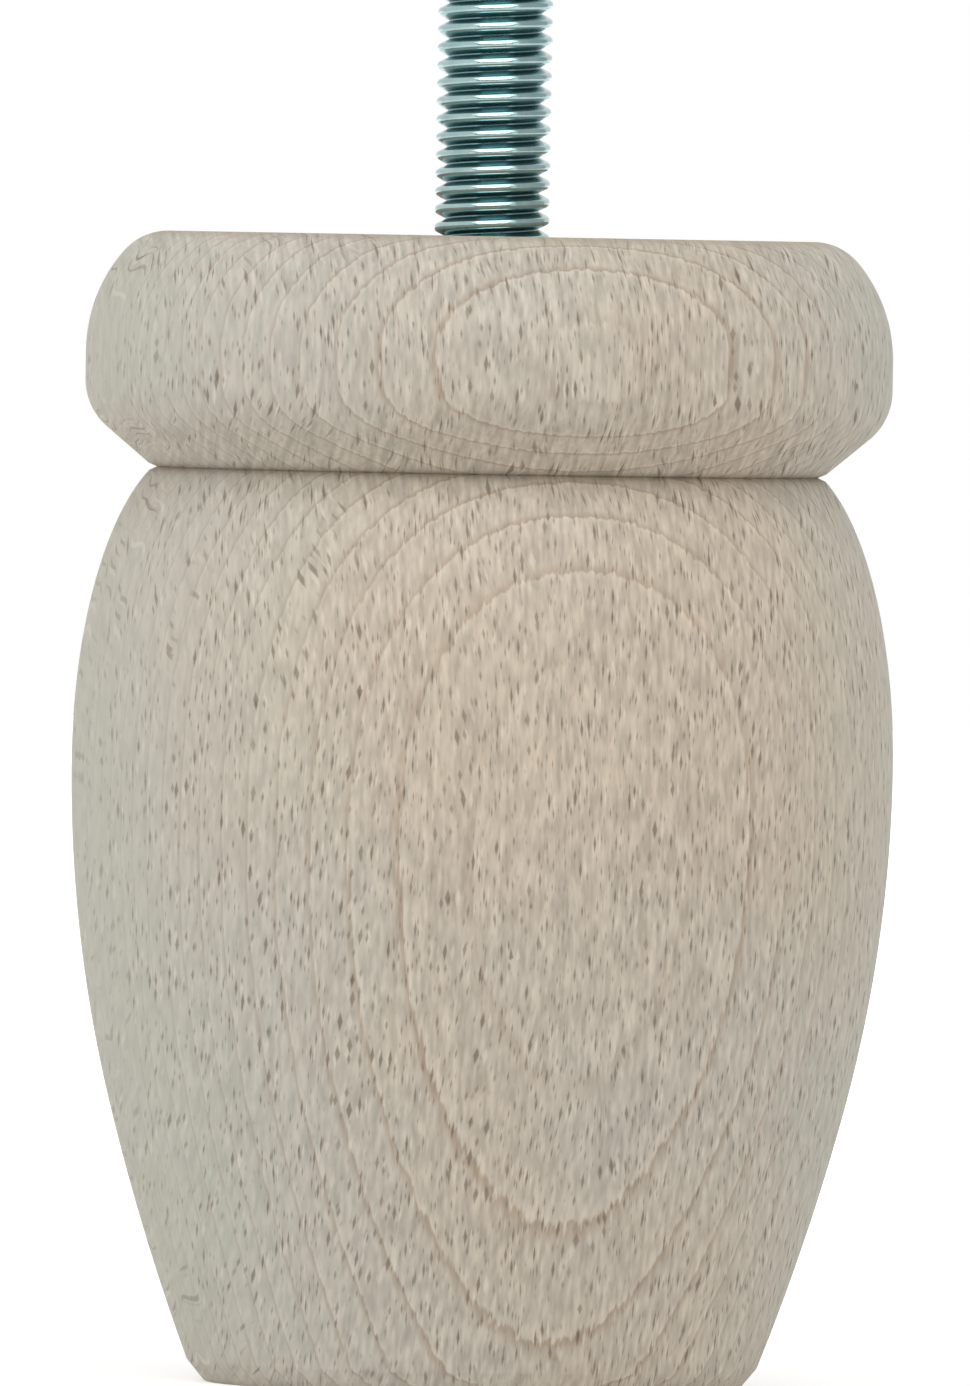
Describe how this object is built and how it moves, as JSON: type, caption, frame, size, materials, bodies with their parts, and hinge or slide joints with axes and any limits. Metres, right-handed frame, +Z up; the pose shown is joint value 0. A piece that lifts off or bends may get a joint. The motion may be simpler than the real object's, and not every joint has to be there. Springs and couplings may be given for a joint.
{
  "type": "turned wooden bed foot",
  "caption": "Turned beech furniture foot with a barrel belly, a grooved collar and a flat seat, fixed by a threaded steel stud in its top.",
  "frame": {"origin": "centre of the base, on the surface that the foot stands on", "axes": "+Z up along the turning axis, towards the stud; X and Y are free about that axis"},
  "size_m": [0.0572, 0.0572, 0.105],
  "materials": {
    "beech": "matte",
    "zinc_steel": "satin"
  },
  "bodies": {
    "root": {"turned_foot": "beech", "hanger_bolt": "zinc_steel"}
  },
  "joints": []
}
